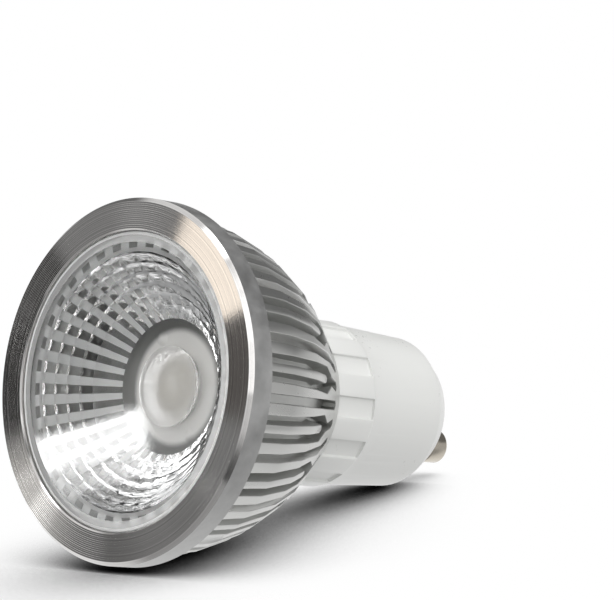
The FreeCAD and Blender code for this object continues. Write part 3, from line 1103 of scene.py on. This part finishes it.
@dataclass(frozen=True)
class Wedge:
    """A panel that the ring's face shows between two hours of its clock."""

    level: float
    start: float
    end: float
    tint: Colour = WHITE
    softness: float = 0.15


@dataclass(frozen=True)
class Floor:
    """A floor that carries nothing but a painted shadow of the lamp on white paper, black where ambient
    occlusion round the lamp is deep.

    Its painted shadow is seen only from above, and only through as many clear panes as it is given.
    """

    name: str
    place: Vector
    normal: Vector
    light: Vector
    shade_range: Range
    panes: int = 0


def window_pane(level: float, upward: Range, nearer: Range) -> Card:
    """Returns one part of the window that glares in the lens, a leaning panel."""
    return Card(
        level,
        across=(-FAR, -0.9),
        upward=upward,
        nearer=nearer,
        softness=0.004,
        lean=0.46,
        slant=0.33,
    )


@dataclass
class Studio:
    """Camera, floors and surroundings."""

    camera_place: tuple[float, float, float] = (-256.81, -148.44, -269.75)
    look: tuple[float, float, float] = (0.58737, 0.37908, 0.71505)
    up: tuple[float, float, float] = (-0.44645, 0.88870, -0.10441)
    focal_length: float = 173.72
    ring_contact: Range = (25.0, 3.8)
    base_contact: Range = (11.0, 53.0)
    floor_size: float = 420.0
    floor_fade: Range = (40.0, 85.0)
    # The floors' shadows are painted from ambient occlusion: its reach, the lean of its normal and the
    # ranges that map it to black.
    shade_reach: float = 44.0
    shade_lean: float = 0.7
    lying_shade: Range = (0.165, 0.86)
    standing_shade: Range = (-0.06, 0.90)
    pane_distances: tuple[float, ...] = (150.0, 152.0)
    pane_size: float = 60.0
    base_level: float = 0.54
    cards: tuple[Card, ...] = (
        Card(0.80, nearer=(0.35, FAR), softness=0.3),
        Card(0.38, upward=(-FAR, -0.35), softness=0.3),
        Card(0.85, upward=(-FAR, -0.30), nearer=(-FAR, -0.20), softness=0.3),
        Card(0.18, upward=(0.20, 0.74), nearer=(-FAR, -0.10), softness=0.2),
        Card(0.90, upward=(0.72, FAR), softness=0.15),
        Card(1.2, across=(0.30, FAR), upward=(-0.30, 0.60), nearer=(0.20, FAR), softness=0.2),
        Card(1.8, across=(-0.10, 0.75), upward=(0.42, 0.97), nearer=(0.20, 0.92), softness=0.08),
        Card(0.24, across=(-FAR, -0.86), softness=0.06),
        Card(3.1, across=(-0.84, -0.34), upward=(-0.25, 0.65), nearer=(0.30, FAR), softness=0.06),
        Card(0.10, across=(-0.30, -0.08), upward=(-0.60, 0.76), nearer=(0.55, FAR), softness=0.04),
        Card(1.6, across=(-0.02, 0.14), upward=(0.05, 0.45), nearer=(0.85, FAR), softness=0.06),
        Card(4.0, across=(-0.42, -0.12), upward=(0.84, FAR), nearer=(0.08, 0.36), softness=0.12),
    )
    wedges: tuple[Wedge, ...] = (
        Wedge(1.45, 0.5, 2.2, (1.0, 0.90, 0.79), 0.06),
        Wedge(0.11, 2.3, 3.8, (1.0, 0.93, 0.88), 0.3),
        Wedge(0.16, 6.0, 7.1, softness=0.5),
        Wedge(0.66, 7.05, 7.95, (1.0, 0.98, 0.94), 0.8),
        Wedge(0.015, 8.1, 10.3, (1.0, 0.92, 0.86), 0.3),
    )
    wedge_reach: float = -0.86
    wedge_blur: float = 0.1
    window: tuple[Card, ...] = (
        window_pane(0.8, (0.075, 0.1175), (-0.045, 0.07)),
        window_pane(6.0, (0.094, 0.1175), (-0.045, 0.0072)),
        window_pane(15.0, (0.104, 0.1175), (-0.045, 0.0072)),
    )
    backdrop: Card = Card(1.0, upward=(-FAR, 0.12), nearer=(-FAR, -0.5), softness=0.25)

    def axes(self) -> tuple[Vector, Vector, Vector]:
        """Returns the camera's right, up and backward directions."""
        back = -Vector(self.look).normalized()
        right = Vector(self.up).cross(back).normalized()
        return right, back.cross(right), back

    def clock_top(self) -> Vector:
        """Returns the direction of 12 o'clock on the ring's face."""
        twelve = Vector(self.up)
        twelve.z = 0.0
        return twelve.normalized()

    def build(self) -> None:
        """Builds camera, floors and surroundings."""
        self.build_camera()
        self.build_floors()
        self.build_panes()
        self.build_surroundings()
        bpy.context.scene.view_settings.view_transform = "Standard"

    def build_camera(self) -> None:
        """Sets the camera where the photograph was taken from."""
        data = bpy.data.cameras.new("camera")
        data.lens = self.focal_length
        data.clip_start = 0.01
        data.clip_end = 10.0
        camera = bpy.data.objects.new("camera", data)
        right, up, back = self.axes()
        turn = Matrix((right, up, back)).transposed().to_4x4()
        camera.matrix_world = Matrix.Translation(Vector(self.camera_place) * MM) @ turn
        bpy.context.scene.collection.objects.link(camera)
        bpy.context.scene.camera = camera

    def resting_plane(self) -> tuple[Vector, Vector]:
        """Returns a point and the normal of the plane that the lamp lies on in the main view.

        It touches the ring's back edge and the base's shoulder, on the side away from the camera's up.
        """
        down = -self.clock_top()
        ring = down * self.ring_contact[0] + AXIS * self.ring_contact[1]
        shoulder = down * self.base_contact[0] + AXIS * self.base_contact[1]
        along = (shoulder - ring).normalized()
        normal = along.cross(down.cross(AXIS)).normalized()
        if normal.dot(down) > 0.0:
            normal.negate()
        return (ring + shoulder) * 0.5 * MM, normal

    def build_floors(self) -> None:
        """Builds the floor that the ring's face stands on and the one that the lamp lies on."""
        place, normal = self.resting_plane()
        right, _, back = self.axes()
        # The painted shadow's occlusion is gathered round the floor's normal, leant toward the camera's
        # right and away from the camera.
        light = (normal + (right - back).normalized() * self.shade_lean).normalized()
        panes = len(self.pane_distances)
        floors = (
            Floor("standing_floor", ORIGIN, AXIS, AXIS, self.standing_shade),
            Floor("lying_floor", place, normal, light, self.lying_shade, panes),
        )
        for floor in floors:
            material = self.floor_material(floor)
            self.build_plane(floor.name, self.floor_size, floor.place, floor.normal, material)

    def build_panes(self) -> None:
        """Builds the clear panes before the camera, through which the lying floor's painted shadow is
        seen.
        """
        back = self.axes()[2]
        for number, distance in enumerate(self.pane_distances):
            material, tree = blank_material(f"clear_pane_{number}")
            set_surface(tree, add_node(tree, "ShaderNodeBsdfTransparent"))
            place = (Vector(self.camera_place) - back * distance) * MM
            self.build_plane(material.name, self.pane_size, place, back, material)

    def build_plane(
        self, name: str, size: float, place: Vector, normal: Vector, material: bpy.types.Material
    ) -> None:
        """Builds a square that only the camera sees.

        Args:
            name: The square's name.
            size: Its side in millimetres.
            place: Its middle.
            normal: The direction that it faces.
            material: Its material.
        """
        mesh = bmesh.new()
        half = size / 2.0 * MM
        turn = normal.to_track_quat("Z", "Y").to_matrix().to_4x4()
        matrix = Matrix.Translation(place) @ turn
        bmesh.ops.create_grid(mesh, x_segments=1, y_segments=1, size=half, matrix=matrix)
        data = bpy.data.meshes.new(name)
        mesh.to_mesh(data)
        mesh.free()
        data.materials.append(material)
        plane = bpy.data.objects.new(name, data)
        bpy.context.scene.collection.objects.link(plane)
        for ray in ("diffuse", "glossy", "transmission", "volume_scatter", "shadow"):
            setattr(plane, "visible_" + ray, False)

    def floor_material(self, floor: Floor) -> bpy.types.Material:
        """Makes a floor's material, clear but for its painted shadow, which comes from ambient occlusion
        round the lamp and not from the lamps.

        Args:
            floor: The floor.

        Returns:
            The material.
        """
        material, tree = blank_material(floor.name)
        reach = vector_node(tree, "DISTANCE", object_place(tree), floor.place).outputs["Value"]
        start, end = self.floor_fade
        fade = smooth_step(tree, reach, start * MM, end * MM)
        behind = add_node(tree, "ShaderNodeNewGeometry").outputs["Backfacing"]
        passed = add_node(tree, "ShaderNodeLightPath").outputs["Transparent Depth"]
        outside = math_node(tree, "LESS_THAN", passed, floor.panes)
        hidden = math_node(tree, "MAXIMUM", behind, outside)
        bare = math_node(tree, "MAXIMUM", fade, hidden)
        light = add_node(tree, "ShaderNodeCombineXYZ", dict(enumerate(floor.light))).outputs[0]
        sockets = {"Distance": self.shade_reach * MM, "Normal": light}
        # Painted shadow: black where the ambient occlusion is deep, clear where the paper is open.
        open_share = add_node(tree, "ShaderNodeAmbientOcclusion", sockets).outputs["AO"]
        unshaded_share = smooth_step(tree, open_share, *floor.shade_range)
        clear = math_node(tree, "MAXIMUM", unshaded_share, bare)
        painted_shadow = add_node(tree, "ShaderNodeBsdfDiffuse", {"Color": opaque(BLACK)})
        gone = add_node(tree, "ShaderNodeBsdfTransparent")
        set_surface(tree, mixed_shader(tree, clear, painted_shadow, gone))
        return material

    def build_surroundings(self) -> None:
        """Builds the white background and the panels that light the lamp and show in its metal."""
        world = bpy.data.worlds.new("studio")
        bpy.context.scene.world = world
        world.use_nodes = True
        tree = world.node_tree
        tree.nodes.clear()
        direction = add_node(tree, "ShaderNodeTexCoord").outputs["Generated"]
        unit = vector_node(tree, "NORMALIZE", direction).outputs[0]
        shares = [vector_node(tree, "DOT_PRODUCT", unit, axis).outputs["Value"] for axis in self.axes()]
        hour = self.ring_hour(tree, unit)
        facing = self.within(tree, shares[0], (-FAR, self.wedge_reach), self.wedge_blur, 1.0)
        layers = [(card, self.card_mask(tree, card, shares)) for card in self.cards]
        layers += [(wedge, self.wedge_mask(tree, wedge, hour, facing)) for wedge in self.wedges]
        layers += [(card, self.card_mask(tree, card, shares)) for card in self.window]
        glow = opaque(WHITE, self.base_level)
        for panel, mask in layers:
            glow = mixed_colour(tree, mask, glow, opaque(panel.tint, panel.level))
        studio = add_node(tree, "ShaderNodeBackground", {"Color": glow})
        paper = opaque(self.backdrop.tint, self.backdrop.level)
        backdrop = add_node(tree, "ShaderNodeBackground", {"Color": paper})
        path = add_node(tree, "ShaderNodeLightPath").outputs
        behind = self.card_mask(tree, self.backdrop, shares)
        shown = math_node(tree, "MAXIMUM", path["Is Glossy Ray"], path["Is Transmission Ray"])
        shown = math_node(tree, "MULTIPLY", shown, behind)
        seen = math_node(tree, "MAXIMUM", path["Is Camera Ray"], shown)
        set_surface(tree, mixed_shader(tree, seen, studio, backdrop), "ShaderNodeOutputWorld")

    def card_mask(self, tree: Tree, card: Card, shares: Sequence[Socket]) -> Value:
        """Builds a panel's mask.

        Args:
            tree: The surroundings' node tree.
            card: The panel.
            shares: The direction's shares across, upward and nearer.

        Returns:
            The mask, 1 inside the panel.
        """
        across, upward, nearer = shares
        height = math_node(tree, "MULTIPLY_ADD", nearer, -card.lean, upward) if card.lean else upward
        depth = math_node(tree, "MULTIPLY_ADD", upward, card.slant, nearer) if card.slant else nearer
        mask = 1.0
        for value, limits in ((across, card.across), (height, card.upward), (depth, card.nearer)):
            mask = self.within(tree, value, limits, card.softness, mask)
        return mask

    def ring_hour(self, tree: Tree, unit: Socket) -> Socket:
        """Builds the hour of the ring's clock at which its face shows a direction of the studio.

        Args:
            tree: The surroundings' node tree.
            unit: The direction.

        Returns:
            The hour, from -6 to 6, with 12 o'clock at 0.
        """
        twelve = self.clock_top()
        three = twelve.cross(AXIS)
        if three.dot(self.axes()[0]) < 0.0:
            three.negate()
        mirrored = Vector(self.look).normalized().reflect(AXIS)
        shares = []
        for axis in (three, twelve):
            share = vector_node(tree, "DOT_PRODUCT", unit, axis).outputs["Value"]
            shares.append(math_node(tree, "SUBTRACT", share, mirrored.dot(axis)))
        turn = math_node(tree, "ARCTAN2", *shares)
        return math_node(tree, "MULTIPLY", turn, HALF_CLOCK / math.pi)

    def wedge_mask(self, tree: Tree, wedge: Wedge, hour: Socket, facing: Value) -> Value:
        """Builds a wedge's mask.

        Args:
            tree: The surroundings' node tree.
            wedge: The panel.
            hour: The hour that a direction belongs to.
            facing: Mask of the directions that the ring's face can show.

        Returns:
            The mask, 1 inside the wedge.
        """
        middle = (wedge.start + wedge.end) / 2.0
        offset = math_node(tree, "SUBTRACT", hour, middle)
        wrapped = math_node(tree, "WRAP", offset, HALF_CLOCK, -HALF_CLOCK)
        half = (wedge.end - wedge.start) / 2.0
        return self.within(tree, wrapped, (-half, half), wedge.softness, facing)

    def within(self, tree: Tree, value: Socket, limits: Range, softness: float, mask: Value) -> Value:
        """Narrows a panel's mask to a range of one direction.

        Args:
            tree: The surroundings' node tree.
            value: The direction's share along one axis.
            limits: Lowest and highest share inside the panel.
            softness: Width of the panel's blurred edge.
            mask: The mask so far.

        Returns:
            The narrowed mask.
        """
        low, high = limits
        half = softness / 2.0
        for edge, inward in ((low, half), (high, -half)):
            if abs(edge) == FAR:
                continue
            step = smooth_step(tree, value, edge - inward, edge + inward)
            mask = math_node(tree, "MULTIPLY", mask, step)
        return mask


def main() -> None:
    """Builds the stage and every piece of the lamp."""
    logging.basicConfig(level=logging.INFO, format="%(name)s %(message)s")
    Studio().build()
    FrontRing().build()
    Lens().build()
    FinnedBody().build()
    Base().build()
    ContactPin("contact_pin_left").build()
    ContactPin("contact_pin_right").build()
    emitter = Emitter()
    emitter.dress()
    emitter.build_seals()
    Driver().dress()


if __name__ == "__main__":
    main()
